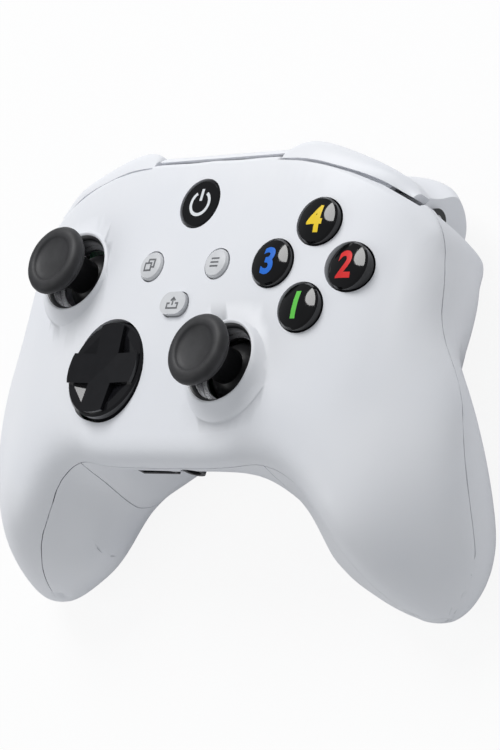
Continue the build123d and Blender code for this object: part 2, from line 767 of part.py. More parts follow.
# Main board with the parts that sit on it
board_half_outline = (
    (-25.8, 10), (-22, 10), (-22, 46), (-8, 54), (12, 54.5), (27.3, 54.5), (27.3, 35.4), (32, 34), (34, 22), (36, 8),
)
jack_body_half = 3.5
jack_body_height = 5.6
jack_body_y = (-27.2, -17.4)
jack_bore = 1.8
jack_end = -31.4
jack_bore_end = -17.8
board_sides = [(x, y) for y, x in board_half_outline]
board_points = board_sides + [(-x, y) for x, y in reversed(board_sides)]
main_board = Pos(0, 0, board_low) * extrude(Face(Polyline(*[(x, y, 0) for x, y in board_points], close=True)), board_thick)
for x, y in board_screw_at:
    main_board = main_board - rod(x, y, screw_core + slack, -overrun, overrun)
for x, y in housing_screw_at:
    main_board = main_board - rod(x, y, housing_boss + slack, -overrun, overrun)
save("main_board", main_board)

port_depth = 7.4
port_shell = 0.5
port_tongue_half = 3.2
port_tongue = (1.4, 2.0)
port_height = 3.4
port_y = (bridge_back - port_depth, bridge_back - edge)
usb = block(around(0, port_size[0] / 2), port_y, (board_top, board_top + port_height))
port_inside = (port_y[0] + 2 * port_shell, overrun)
usb = usb - block(
    around(0, port_size[0] / 2 - port_shell), port_inside, (board_top + port_shell, board_top + port_height - port_shell)
)
usb = usb + block(
    around(0, port_tongue_half), (port_y[0] + port_shell, port_y[1] - 2 * port_shell),
    (board_top + port_tongue[0], board_top + port_tongue[1]),
)
save("usb_socket", usb)

jack = block(around(jack_at[0], jack_body_half), jack_body_y, (board_top, board_top + jack_body_height))
jack = jack + y_rod(*jack_at, jack_barrel, jack_end, jack_body_y[0] + edge)
save("headset_jack", jack - y_rod(*jack_at, jack_bore, jack_end - wall, jack_bore_end))
expansion_y = (-31.2, -24.0)
expansion_wall = 0.8
expansion_foot_half = 4.0
expansion_foot_y = (-27.2, -24.5)
expansion = block(
    around(expansion_at[0], expansion_size[0] / 2), expansion_y, around(expansion_at[1], expansion_size[1] / 2)
)
expansion = expansion - block(
    around(expansion_at[0], expansion_size[0] / 2 - expansion_wall),
    (-overrun, expansion_foot_y[0]),
    around(expansion_at[1], expansion_size[1] / 2 - expansion_wall),
)
expansion = expansion + block(around(expansion_at[0], expansion_foot_half), expansion_foot_y, (board_top, expansion_at[1]))
save("expansion_port", expansion)

switch_x = 31.0
switch_half = 2.0
switch_y = (28.4, 32.0)
switch_height = 3.6
switch_cap = 0.9
right_switch = block(around(switch_x, switch_half), switch_y, (board_top, board_top + switch_height))
right_switch = right_switch + y_rod(switch_x, board_top + switch_height / 2, switch_cap, switch_y[1], switch_y[1] + switch_cap)
save("bumper_switches", right_switch, mirror_x(right_switch))

# Buttons: cap, flange under the shell and plunger over the membrane
sheet_thick = 1.0
dome_height = 0.9
dome_radii = (3.2, 2.4)
dome_top = board_top + sheet_thick + dome_height
press_gap = 0.2
flange_thick = 1.0
rim_drop = 0.5
rim_inset = 0.4
crown_share = 0.55
crown_fall_share = 0.3
button_travel = 1.4
home_travel = 0.6
small_travel = 0.8
button_tops = (1.7, 0.9)
home_tops = (0.1, 0.0)
small_tops = (1.0, 0.7)
button_flange = (4.9, 6.8)
side_button_flange = (5.8, 6.8)
home_flange = (3.6, 7.0)
small_flange = (3.4, 4.4)
button_plunger = 3.2
small_plunger = 2.4


def round_button(place, radius, tops, flange, plunger, travel):
    """A domed cap with a flange at a depth below the face and a plunger down to its dome."""
    level = face_height(*place)
    crown, shoulder = tops
    flange_depth, flange_radius = flange
    bottom = dome_top + travel + press_gap - level
    shoulder_radius = radius - rim_inset
    dome = ThreePointArc(
        (0, 0, crown),
        (shoulder_radius * crown_share, 0, crown - (crown - shoulder) * crown_fall_share),
        (shoulder_radius, 0, shoulder),
    )
    lines = Polyline(
        (shoulder_radius, 0, shoulder),
        (radius, 0, shoulder - rim_drop),
        (radius, 0, -flange_depth),
        (flange_radius, 0, -flange_depth),
        (flange_radius, 0, -flange_depth - flange_thick),
        (plunger, 0, -flange_depth - flange_thick),
        (plunger, 0, bottom),
        (0, 0, bottom),
        (0, 0, crown),
    )
    return Pos(*place, level) * revolve(make_face([dome] + lines.edges()), Axis.Z)


for name, place in cluster.items():
    flange = side_button_flange if name == "right_button" else button_flange
    save(name, round_button(place, button_radius, button_tops, flange, button_plunger, button_travel))
save("home_button", round_button(home_at, home_radius, home_tops, home_flange, button_plunger, home_travel))
save("view_button", round_button(view_at, small_radius, small_tops, small_flange, small_plunger, small_travel))
save("menu_button", round_button(menu_at, small_radius, small_tops, small_flange, small_plunger, small_travel))

share_level = face_height(*share_at)
share_flange = share_level - small_flange[0] - flange_thick
share_reach = 0.8
share_button = Pos(0, 0, share_flange) * extrude(SlotOverall(*share_size), small_flange[0] + flange_thick + small_tops[0])
share_plate = SlotOverall(share_size[0] + 2 * share_reach, share_size[1] + 2 * share_reach)
share_button = share_button + Pos(0, 0, share_flange) * extrude(share_plate, flange_thick)
share_button = share_button + rod(0, 0, small_plunger, dome_top + small_travel + press_gap, share_flange + edge)
save("share_button", Pos(*share_at, 0) * share_button)

sheet_blocks = (
    ((-15, 16), (0.5, 18.2)),
    ((-4.5, 4.5), (17, 33.8)),
    ((15, 52.6), (9.8, 18.2)),
    ((33.6, 42.0), (-0.6, 27.2)),
)
sheet_z = (board_top, board_top + sheet_thick)
membrane = block(*sheet_blocks[0], sheet_z)
for x_range, y_range in sheet_blocks[1:]:
    membrane = membrane + block(x_range, y_range, sheet_z)
for x, y in list(cluster.values()) + [home_at, view_at, menu_at, share_at]:
    membrane = membrane + Pos(x, y, sheet_z[1] + dome_height / 2) * Cone(*dome_radii, dome_height)
save("button_membrane", membrane)

# Direction pad on its ball
dpad_level = face_height(*dpad_at)
ball_z = -7.7
ball_radius = 1.8
socket_radius = 3.2
socket_depth = 0.8
socket_play = 1.2
pad_rim_high = 0.9
pad_rim_round = 0.5
pad_under = 2.6
pad_skirt = 10.8
pad_skirt_top = 1.2
pad_flange = 12.9
pad_flange_z = (-9.6, -8.8)
facet_radii = (2.6, 11.3)
facet_drop = 1.3
cross_half = 3.7
cross_reach = 11.2
cross_rise = 1.9
cross_foot = 2.0
cross_dip = 1.0
cross_dip_radii = (0.3, 17.0)
support_top = -12.3
support_radius = 11.2
support_wall = 1.4
post_radius = 2.6
post_neck = 1.1
post_shoulder = -10.3
plunger_at = 9.0
plunger_radius = 1.4
plunger_low = -10.5
snap_plate = 0.4
snap_radius = 11.0
bump_radii = (1.8, 1.2)
bump_height = 0.4
over_dpad = Pos(*dpad_at, 0)


def regular(count, radius, z, turn):
    return Pos(0, 0, z) * Rot(0, 0, turn) * RegularPolygon(radius, count)


rim_level = dpad_level + pad_rim_high
dish_outline = (
    (0, rim_level),
    (dpad_radius - pad_rim_round, rim_level),
    (dpad_radius, rim_level - pad_rim_round),
    (dpad_radius, pad_flange_z[1]),
    (pad_flange, pad_flange_z[1]),
    (pad_flange, pad_flange_z[0]),
    (pad_skirt, pad_flange_z[0]),
    (pad_skirt, dpad_level - pad_skirt_top),
    (socket_radius, dpad_level - pad_under),
    (0, dpad_level - pad_under),
)
eighth = 360 / 8
dpad = turned(dish_outline)
dpad = dpad - loft([
    regular(8, facet_radii[0], dpad_level - facet_drop, eighth / 2), regular(8, facet_radii[1], rim_level + edge, eighth / 2)
])
cross_z = (-cross_foot, cross_rise)
cross = block(around(0, cross_reach), around(0, cross_half), cross_z)
cross = cross + block(around(0, cross_half), around(0, cross_reach), cross_z)
cross = Pos(0, 0, dpad_level) * cross & rod(0, 0, cross_reach, -overrun, overrun)
cross = cross - loft([
    regular(4, cross_dip_radii[0], dpad_level + cross_dip, eighth),
    regular(4, cross_dip_radii[1], dpad_level + cross_rise + edge / 4, eighth),
])
dpad = dpad + cross + rod(0, 0, socket_radius, ball_z - socket_depth, dpad_level - cross_foot)
dpad = dpad - Pos(0, 0, ball_z) * Sphere(ball_radius + running)
dpad = dpad - Pos(0, 0, ball_z - socket_depth) * Cylinder(ball_radius + slack, socket_play)
quarters = (0, 90, 180, 270)
for angle in quarters:
    dpad = dpad + Rot(0, 0, angle) * rod(plunger_at, 0, plunger_radius, plunger_low, dpad_level - pad_skirt_top + edge)
save("dpad", over_dpad * dpad)

post_outline = (
    (0, board_top),
    (support_radius, board_top),
    (support_radius, support_top),
    (post_radius, support_top),
    (post_radius, post_shoulder),
    (post_neck, post_shoulder + post_radius - post_neck),
    (post_neck, ball_z),
    (0, ball_z),
)
hollow_outline = (
    (post_radius + support_wall, board_top),
    (support_radius - support_wall, board_top),
    (support_radius - support_wall, support_top - support_wall),
    (post_radius + support_wall, support_top - support_wall),
)
dpad_pivot = turned(post_outline) - turned(hollow_outline) + Pos(0, 0, ball_z) * Sphere(ball_radius)
save("dpad_pivot", over_dpad * dpad_pivot)
snap = rod(0, 0, snap_radius, support_top, support_top + snap_plate) - rod(0, 0, post_radius + running, -overrun, overrun)
for angle in quarters:
    bump = Pos(plunger_at, 0, support_top + snap_plate + bump_height / 2) * Cone(*bump_radii, bump_height)
    snap = snap + Rot(0, 0, angle) * bump
save("dpad_dome_plate", over_dpad * snap)

# Thumb sticks: cap, stem, shaft and two crossed rockers in a housing. Heights are over the pivot.
stick_pivot = -11.7
cap_middle = (0, 18.2)
cap_dish = (3.6, 18.5)
cap_rim = (5.5, 19.3)
cap_brow = (7.7, 18.7)
cap_side = (8.6, 17.4)
cap_under = (8.3, 16.6)
cap_neck = (6.8, 16.2)
cap_foot = (6.8, 15.0)
cap_low = (6.4, 14.6)
cap_rim_slope = 0.2
stem_radius = 4.2
stem_top = 17.0
stem_shoulder = 14.6
spigot_radius = 3.0
spigot_step = 0.2
column_low = 6.4
column_flare = 0.6
column_foot = 2.2
dome_radii_out_in = (8.2, 7.4)
dome_span = (27.5, 78.0)
shaft_radius = 1.1
shaft_z = (-3.2, 10.0)
bore_high = 10.6
cross_pin = 0.45
trunnion = 0.8
rocker_half = (2.6, 1.8)
rocker_z = (-1.6, 1.4)
rocker_slot = (1.7, 1.2)
strap_radii = (3.2, 3.7)
strap_half = 1.6
strap_slot = (1.22, 2.3)
module_half = 4.8
module_z = (-5.1, 4.6)
module_wall = 0.8
module_corner = 1.4
module_bevel = 1.0
module_hole = 3.1
base_half = 6.5
pot_radius = 2.4
pot_reach = 6.2
click_x = (-6.3, -4.8)
click_half = 1.6
click_top = -3.0


def ring_point(point):
    return (point[0], 0, point[1])


def stick_cap():
    """The rubber cap: a dish in a rounded rim, with a second ring below."""
    leaving = (1, 0, cap_rim_slope)
    dish = Spline(ring_point(cap_middle), ring_point(cap_dish), ring_point(cap_rim), tangents=((1, 0, 0), leaving))
    brow = Spline(ring_point(cap_rim), ring_point(cap_brow), ring_point(cap_side), tangents=(leaving, (0, 0, -1)))
    bore_top = (0, stem_top)
    lower = (
        cap_side, cap_under, cap_neck, cap_foot, cap_low, (stem_radius, stem_shoulder),
        (spigot_radius, stem_shoulder + spigot_step), (spigot_radius, stem_top), bore_top, cap_middle,
    )
    return revolve(make_face([dish, brow] + Polyline(*[ring_point(point) for point in lower]).edges()), Axis.Z)


def on_sphere(radius, angle):
    return (radius * sin(radians(angle)), 0, radius * cos(radians(angle)))


def stick_stem():
    """The stem with the dome that closes the well round it."""
    first, last = dome_span
    middle = (first + last) / 2
    outer = ThreePointArc(*[on_sphere(dome_radii_out_in[0], angle) for angle in (first, middle, last)])
    inner = ThreePointArc(*[on_sphere(dome_radii_out_in[1], angle) for angle in (last, middle, first)])
    dome = revolve(make_face([outer, inner, Line(outer @ 1, inner @ 0), Line(inner @ 1, outer @ 0)]), Axis.Z)
    column = turned((
        (0, stem_top), (spigot_radius - running, stem_top), (spigot_radius - running, stem_shoulder),
        (stem_radius, stem_shoulder), (stem_radius, column_low + column_flare), (column_foot, column_low), (0, column_low),
    ))
    return column + dome - rod(0, 0, shaft_radius + running, -overrun, bore_high)


def lower_rocker():
    rocker = block(around(0, rocker_half[0]), around(0, rocker_half[1]), rocker_z)
    rocker = rocker + x_rod(0, 0, trunnion, -module_half, module_half)
    rocker = rocker - block(around(0, rocker_slot[0]), around(0, rocker_slot[1]), (-overrun, overrun))
    return rocker - y_rod(0, 0, cross_pin + running, -overrun, overrun)


def upper_rocker():
    strap = x_rod(0, 0, strap_radii[1], -strap_half, strap_half) - x_rod(0, 0, strap_radii[0], -overrun, overrun)
    strap = strap & block((-overrun, overrun), (-overrun, overrun), (-trunnion, overrun))
    strap = strap - block(around(0, strap_slot[0]), around(0, strap_slot[1]), (0, overrun))
    ends = y_rod(0, 0, trunnion, strap_radii[0], module_half)
    return strap + ends + y_rod(0, 0, trunnion, -module_half, -strap_radii[0])


def bevelled(half, z_range, corner, bevel):
    box = block(around(0, half), around(0, half), z_range)
    box = chamfer(box.edges().filter_by(Axis.Z), corner)
    return chamfer(box.faces().sort_by(Axis.Z)[-1].edges(), bevel)


def stick_housing():
    inner_half = module_half - module_wall
    housing = bevelled(module_half, module_z, module_corner, module_bevel)
    housing = housing + block(around(0, base_half), around(0, base_half), (board_top - stick_pivot, module_z[0]))
    inside = (module_z[0], module_z[1] - module_wall)
    housing = housing - bevelled(inner_half, inside, module_corner - edge, module_bevel - slack)
    housing = housing - rod(0, 0, module_hole, 0, overrun)
    housing = housing + x_rod(0, 0, pot_radius, module_half, pot_reach) + y_rod(0, 0, pot_radius, module_half, pot_reach)
    housing = housing - x_rod(0, 0, trunnion + running, -module_half, module_half)
    housing = housing - y_rod(0, 0, trunnion + running, -module_half, module_half)
    return housing + block(click_x, around(0, click_half), (module_z[0], click_top))


for name, (x, y) in stick_places.items():
    seat = Pos(x, y, stick_pivot)
    shaft = rod(0, 0, shaft_radius, *shaft_z) + y_rod(0, 0, cross_pin, -rocker_half[1], rocker_half[1])
    save(f"{name}_stick_cap", seat * stick_cap())
    save(f"{name}_stick_stem", seat * stick_stem())
    save(f"{name}_stick_shaft", seat * shaft)
    save(f"{name}_lower_rocker", seat * lower_rocker())
    save(f"{name}_upper_rocker", seat * upper_rocker())
    save(f"{name}_stick_housing", seat * stick_housing())

# Rumble motors in the grips
motor = y_rod(*motor_at, motor_radius, *motor_y) + y_rod(*motor_at, motor_shaft, motor_y[1], weight_y[1])
save("right_grip_motor", motor)
save("left_grip_motor", mirror_x(motor))
weight = y_rod(*motor_at, weight_radius, *weight_y)
weight = weight - block((-overrun, overrun), (-overrun, overrun), (motor_at[1] + weight_cut, overrun))
weight = weight - y_rod(*motor_at, motor_shaft + running, -overrun, overrun)
save("right_grip_weight", weight)
save("left_grip_weight", mirror_x(weight))

# Fasteners


def screws(places, seat_z, length):
    pieces = []
    for x, y in places:
        head_z = (seat_z - head_height, seat_z)
        screw = rod(x, y, shank, seat_z, seat_z + length) + rod(x, y, head_radius, *head_z)
        slot_z = (head_z[0], seat_z - head_height / 2)
        pieces.append(screw - block(around(x, head_radius), around(y, head_slot_half), slot_z))
    return pieces


save("housing_screws", *screws(housing_screw_at, ear_low, housing_screw_length))
save("board_screws", *screws(board_screw_at, carrier_low, board_screw_length))
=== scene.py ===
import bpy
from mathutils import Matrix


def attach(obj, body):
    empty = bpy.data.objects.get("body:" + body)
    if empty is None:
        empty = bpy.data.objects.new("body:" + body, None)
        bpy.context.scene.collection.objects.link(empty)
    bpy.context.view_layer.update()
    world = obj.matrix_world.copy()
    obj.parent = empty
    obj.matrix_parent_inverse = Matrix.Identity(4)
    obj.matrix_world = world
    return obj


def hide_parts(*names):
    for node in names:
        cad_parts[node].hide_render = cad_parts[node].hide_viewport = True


bl_info = {
    "name": "Gamepad controller",
    "version": (1, 0, 0),
    "blender": (4, 5, 0),
    "location": "View3D > Sidebar > Gamepad",
    "description": "Finishes, marks and studio for the gamepad controller",
    "category": "Object",
}

import math

import bmesh
import bpy
import numpy as np
from mathutils import Matrix, Vector
from mathutils.bvhtree import BVHTree
from mathutils.kdtree import KDTree

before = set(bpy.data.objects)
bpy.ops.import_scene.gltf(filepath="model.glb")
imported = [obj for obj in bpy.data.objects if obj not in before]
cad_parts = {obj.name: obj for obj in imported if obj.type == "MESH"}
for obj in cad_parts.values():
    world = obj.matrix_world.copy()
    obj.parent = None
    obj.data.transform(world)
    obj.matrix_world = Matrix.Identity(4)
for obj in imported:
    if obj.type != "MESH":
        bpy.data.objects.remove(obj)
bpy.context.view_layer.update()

MM = 0.001

# The face leans towards the bumpers by this angle. In the face's own millimetres the model's zero lies
# FACE_Y along it and FACE_HEIGHT below it.
FACE_LEAN = math.radians(10.0)
FACE_Y = 5.5
FACE_HEIGHT = 43.25

SHELL_NODES = (
    "front_shell", "rear_shell", "left_side_grip", "right_side_grip", "bumper_bridge",
    "left_bumper", "right_bumper", "left_trigger", "right_trigger", "battery_door",
)
RUBBER_NODES = ("left_stick_cap", "right_stick_cap")
STEM_NODES = ("left_stick_stem", "right_stick_stem")
GLOSS_NODES = ("top_button", "right_button", "bottom_button", "left_button", "home_button")
PAD_NODES = ("dpad",)
GREY_NODES = ("view_button", "menu_button", "share_button")
RING_NODES = ("stick_rings",)
LINER_NODES = ("well_liners",)
BOARD_NODES = ("main_board",)
SILICONE_NODES = ("button_membrane",)
CELL_NODES = ("battery_cells",)
STEEL_NODES = (
    "usb_socket", "battery_contacts", "left_stick_housing", "right_stick_housing", "left_stick_shaft",
    "right_stick_shaft", "trigger_pins", "left_trigger_spring", "right_trigger_spring", "trigger_motors",
    "left_grip_motor", "right_grip_motor", "dpad_dome_plate",
)
WEIGHT_NODES = ("left_grip_weight", "right_grip_weight", "left_trigger_weight", "right_trigger_weight")
SCREW_NODES = ("housing_screws", "board_screws")
DARK_NODES = (
    "mid_frame", "dpad_pivot", "pair_button", "expansion_port", "headset_jack", "left_trigger_bracket",
    "right_trigger_bracket", "bumper_switches", "left_lower_rocker", "right_lower_rocker",
    "left_upper_rocker", "right_upper_rocker",
)


def from_face(x, y, z):
    """A point given on the face, in millimetres, as a point of the model."""
    along, above = (y - FACE_Y) * MM, (z + FACE_HEIGHT) * MM
    lean, rise = math.cos(FACE_LEAN), math.sin(FACE_LEAN)
    return Vector((x * MM, along * lean + above * rise, above * lean - along * rise))


def face_direction(x, y, z):
    return (from_face(x, y, z) - from_face(0, 0, 0)).normalized()


FACE_NORMAL = face_direction(0, 0, 1)


def face_matrix(x, y, z):
    """Carries a mesh made in metres round zero to a place on the face, with the face's axes."""
    columns = Matrix([face_direction(*axis) for axis in ((1, 0, 0), (0, 1, 0), (0, 0, 1))]).transposed()
    return Matrix.Translation(from_face(x, y, z)) @ columns.to_4x4()


# How far the face falls at its flanks and along its bow, in millimetres
HALF_WIDTH = 76.5
BOW_LENGTH = 56.3
BOW_Y = 30.4
CROWN_DROP = 4.74
FLANK_DROP = 17.5
BOW_DROP = 5.23


def face_level(x, y):
    """How high the face lies at a place on it, in millimetres."""
    across, along = x / HALF_WIDTH, (y - BOW_Y) / BOW_LENGTH
    return -CROWN_DROP * across**2 - FLANK_DROP * across**4 - BOW_DROP * along**2


# Shader maths

class Value:
    """A socket of a node tree that stands in sums and products like a number."""

    def __init__(self, tree, socket):
        self.tree = tree
        self.socket = socket

    def maths(self, operation, first, second):
        return self.tree.node("ShaderNodeMath", {"operation": operation}, (first, second))

    def __add__(self, other):
        return self.maths("ADD", self, other)

    def __radd__(self, other):
        return self.maths("ADD", other, self)

    def __sub__(self, other):
        return self.maths("SUBTRACT", self, other)

    def __rsub__(self, other):
        return self.maths("SUBTRACT", other, self)

    def __mul__(self, other):
        return self.maths("MULTIPLY", self, other)

    def __rmul__(self, other):
        return self.maths("MULTIPLY", other, self)

    def smooth(self, low, high):
        settings = {"interpolation_type": "SMOOTHSTEP"}
        return self.tree.node("ShaderNodeMapRange", settings, (self, low, high, 0.0, 1.0))


class Shading:
    """A node tree that gets its nodes through one method."""

    def __init__(self, tree):
        self.tree = tree

    def node(self, kind, settings, values, output=0):
        made = self.tree.nodes.new(kind)
        for key, value in settings.items():
            setattr(made, key, value)
        pairs = values.items() if isinstance(values, dict) else enumerate(values)
        for key, value in pairs:
            if isinstance(value, Value):
                self.tree.links.new(value.socket, made.inputs[key])
            else:
                made.inputs[key].default_value = value
        return Value(self, made.outputs[output])


class Finish(Shading):
    """A material and its node tree, built round one Principled shader."""

    def __init__(self, name, **constants):
        self.material = bpy.data.materials.new(name)
        self.material.use_nodes = True
        super().__init__(self.material.node_tree)
        self.shader = self.tree.nodes["Principled BSDF"]
        for socket, value in constants.items():
            self.shader.inputs[socket.replace("_", " ")].default_value = value
        self.place = self.node("ShaderNodeTexCoord", {}, (), "Object")

    def noise(self, scale, detail=2.0, roughness=0.5):
        values = {"Vector": self.place, "Scale": scale, "Detail": detail, "Roughness": roughness}
        return self.node("ShaderNodeTexNoise", {}, values, "Fac")

    def blend(self, mask, first, second):
        settings = {"data_type": "RGBA"}
        values = {0: mask, 6: (*first, 1.0), 7: (*second, 1.0)}
        return self.node("ShaderNodeMix", settings, values, 2)

    def link(self, value, socket):
        self.tree.links.new(value.socket, self.shader.inputs[socket])

    def bump(self, height, depth, strength=1.0):
        values = {"Strength": strength, "Distance": depth, "Height": height}
        self.link(self.node("ShaderNodeBump", {}, values), "Normal")


# Finishes

def shell_finish(look):
    """White moulded plastic with a fine spark-eroded grain."""
    made = Finish("white shell", IOR=1.46)
    drift = made.noise(28.0, 3.0)
    base = tuple(look.shell_colour)
    cooler = (base[0] * 0.975, base[1] * 0.98, base[2] * 0.99)
    made.link(made.blend(drift.smooth(0.35, 0.65), cooler, base), "Base Color")
    grain = made.noise(look.grain_scale, 3.0, 0.6)
    made.link(look.shell_roughness + 0.08 * (grain - 0.5), "Roughness")
    made.bump(grain, look.grain_depth * MM, 0.5)
    return made.material


def rubber_finish(look):
    """Charcoal rubber, matt, with a fine grain and slight polish."""
    made = Finish("stick rubber", IOR=1.5)
    grain = made.noise(5200.0, 2.0)
    wear = made.noise(220.0, 3.0)
    worn = (0.024, 0.024, 0.026)
    made.link(made.blend(wear.smooth(0.3, 0.7), tuple(look.rubber_colour), worn), "Base Color")
    made.link(0.5 + 0.12 * wear, "Roughness")
    made.bump(grain, 0.03 * MM, 0.6)
    return made.material


def gloss_finish(name, colour, roughness=0.06):
    made = Finish(name, Coat_Weight=0.3, Coat_Roughness=0.04, IOR=1.45)
    cloud = made.noise(350.0, 2.0)
    deeper = tuple(part * 0.6 for part in colour)
    made.link(made.blend(cloud, deeper, colour), "Base Color")
    made.link(roughness + 0.05 * cloud.smooth(0.45, 0.8), "Roughness")
    return made.material


def satin_finish(name, colour, roughness=0.45, grain=3000.0, depth=0.012):
    made = Finish(name, IOR=1.46)
    cloud = made.noise(160.0, 3.0)
    fine = made.noise(grain, 2.0)
    other = tuple(part * 0.9 for part in colour)
    made.link(made.blend(cloud.smooth(0.3, 0.7), other, colour), "Base Color")
    made.link(roughness + 0.1 * (fine - 0.5), "Roughness")
    made.bump(fine, depth * MM, 0.5)
    return made.material


def metal_finish(name, colour, roughness):
    made = Finish(name, Metallic=1.0)
    stretched = made.node("ShaderNodeMapping", {}, {"Vector": made.place, "Scale": (900.0, 6000.0, 900.0)})
    streaks = made.node("ShaderNodeTexNoise", {}, {"Vector": stretched, "Scale": 1.0, "Detail": 2.0}, "Fac")
    darker = tuple(part * 0.8 for part in colour)
    made.link(made.blend(streaks, darker, colour), "Base Color")
    made.link(roughness + 0.15 * streaks, "Roughness")
    return made.material


def board_finish():
    """Green lacquer over copper tracks."""
    made = Finish("board lacquer", IOR=1.5)
    slant = (0.0, 0.0, math.radians(45.0))
    turned = made.node("ShaderNodeMapping", {}, {"Vector": made.place, "Rotation": slant})
    values = {"Vector": turned, "Scale": 260.0, "Mortar Size": 0.04}
    tracks = made.node("ShaderNodeTexBrick", {"offset": 0.5}, values, "Fac")
    made.link(made.blend(tracks, (0.012, 0.09, 0.04), (0.03, 0.17, 0.07)), "Base Color")
    made.link(0.25 + 0.1 * made.noise(500.0), "Roughness")
    return made.material


def cell_finish():
    """Printed film with a plain band near one end."""
    made = Finish("cell film", Metallic=0.2)
    split = made.node("ShaderNodeSeparateXYZ", {}, (made.place,), "X")
    band = (split * (1.0 / MM)).smooth(12.0, 12.3)
    made.link(made.blend(band, (0.04, 0.045, 0.05), (0.55, 0.34, 0.12)), "Base Color")
    made.link(0.28 + 0.1 * made.noise(700.0), "Roughness")
    return made.material


def dress(names, material):
    for name in names:
        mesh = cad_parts[name].data
        mesh.materials.clear()
        mesh.materials.append(material)


# Meshes

def plain_mesh(name, made):
    """Turns a bmesh into a mesh and frees it."""
    mesh = bpy.data.meshes.new(name)
    made.to_mesh(mesh)
    made.free()
    return mesh


def evaluated_mesh(holder):
    """The plain mesh that an object's modifiers or letters make. The object is removed."""
    bpy.context.scene.collection.objects.link(holder)
    bpy.context.view_layer.update()
    mesh = bpy.data.meshes.new_from_object(holder.evaluated_get(bpy.context.evaluated_depsgraph_get()))
    bpy.data.objects.remove(holder)
    return mesh


def add_piece(name, mesh, material, body):
    mesh.materials.clear()
    mesh.materials.append(material)
    piece = bpy.data.objects.new(name, mesh)
    bpy.context.scene.collection.objects.link(piece)
    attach(piece, body)
    return piece


# Easing of the moulded grips

EASED_NODES = ("front_shell", "rear_shell", "left_side_grip", "right_side_grip")
# A face takes the skin's shading where it points within this angle of the skin.
EASED_FACING = math.cos(math.radians(35.0))
# Edges that bend by more than this stay sharp.
SHARP_ANGLE = math.radians(30.0)
# Where the easing starts and where it is full, in millimetres of the face: down from its zero towards the
# grips, out from its middle, and below its zero
GRIP_DOWN = (12.0, 26.0)
GRIP_OUT = (22.0, 32.0)
FLANK_DOWN = (-14.0, -2.0)
FLANK_OUT = (56.0, 64.0)
SIDE_DOWN = (-26.0, -18.0)
SIDE_OUT = (58.0, 62.0)
SIDE_BELOW = (6.0, 10.0)
# Points nearer than this are one point of a CAD mesh.
WELD = 0.002 * MM


def merged_mesh(name, nodes):
    made = bmesh.new()
    for node in nodes:
        made.from_mesh(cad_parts[node].data)
    bmesh.ops.remove_doubles(made, verts=made.verts, dist=WELD)
    return plain_mesh(name, made)


def voxel_skin(mesh, size):
    """An even skin over a mesh, as a mesh of its own."""
    holder = bpy.data.objects.new("skin", mesh)
    remesh = holder.modifiers.new("even", "REMESH")
    remesh.mode = "VOXEL"
    remesh.voxel_size = size
    even = evaluated_mesh(holder)
    bpy.data.meshes.remove(mesh)
    return even


def averaged(values, edges, count, share=0.5):
    """Values at the points, each moved towards the mean of its neighbours, several times."""
    total = len(values)
    ends = np.concatenate([edges[:, 0], edges[:, 1]])
    others = np.concatenate([edges[:, 1], edges[:, 0]])
    neighbours = np.maximum(np.bincount(ends, minlength=total), 1)[:, None]
    for _ in range(count):
        sums = np.stack([np.bincount(ends, values[others, i], total) for i in range(3)], axis=1)
        values = values + share * (sums / neighbours - values)
    return values


def smooth_step(value, low, high):
    share = min(max((value - low) / (high - low), 0.0), 1.0)
    return share * share * (3.0 - 2.0 * share)


def easing_share(point):
    """How fully a point is eased: fully on the grips and flanks, not at all round the buttons and ports."""
    lean, rise = math.cos(FACE_LEAN), math.sin(FACE_LEAN)
    across = abs(point.x) / MM
    along = (point.y * lean - point.z * rise) / MM + FACE_Y
    above = (point.y * rise + point.z * lean) / MM - FACE_HEIGHT
    grips = smooth_step(-along, *GRIP_DOWN) * smooth_step(across, *GRIP_OUT)
    flanks = smooth_step(across, *FLANK_OUT) * smooth_step(-along, *FLANK_DOWN)
    sides = smooth_step(across, *SIDE_OUT) * smooth_step(-along, *SIDE_DOWN)
    return max(grips, flanks, sides * smooth_step(-above, *SIDE_BELOW))


class Easing:
    """A smoothed skin over the whole housing, which the housing's points are laid onto."""

    # How far a point may be moved down or up onto the skin
    reach_down = 1.5 * MM
    reach_up = 0.6 * MM
    neighbours = 4
    softening = 0.1 * MM

    def __init__(self, voxel, count):
        even = voxel_skin(merged_mesh("whole housing", EASED_NODES), voxel * MM)
        points = np.empty(len(even.vertices) * 3)
        even.vertices.foreach_get("co", points)
        points = points.reshape(-1, 3)
        edges = np.empty(len(even.edges) * 2, dtype=np.int64)
        even.edges.foreach_get("vertices", edges)
        edges = edges.reshape(-1, 2)
        eased = averaged(points, edges, count)
        eased = eased + averaged(points - eased, edges, count)
        even.vertices.foreach_set("co", eased.ravel())
        even.update()
        self.normals = [vertex.normal.copy() for vertex in even.vertices]
        self.shifts = [Vector(shift) for shift in eased - points]
        self.surface = BVHTree.FromPolygons(eased.tolist(), [tuple(face.vertices) for face in even.polygons])
        self.tree = KDTree(len(points))
        for i, point in enumerate(points):
            self.tree.insert(point, i)
        self.tree.balance()
        bpy.data.meshes.remove(even)

    def lay(self, point):
        """Where a point of the housing goes, and the skin's normal there if the point lies on the skin."""
        share = easing_share(point)
        if share == 0.0:
            return point, None
        found = self.tree.find_n(point, self.neighbours)
        near = [(i, 1.0 / (distance + self.softening)) for _, i, distance in found]
        total = sum(weight for _, weight in near)
        shift = sum((self.shifts[i] * weight for i, weight in near), Vector()) / total
        normal = sum((self.normals[i] * weight for i, weight in near), Vector())
        moved = point + shift
        spot, facing, _, distance = self.surface.find_nearest(moved)
        reach = self.reach_down if (moved - spot).dot(facing) > 0.0 else self.reach_up
        if distance > reach:
            return point.lerp(moved, share), None
        return point.lerp(spot, share), normal.normalized() * share


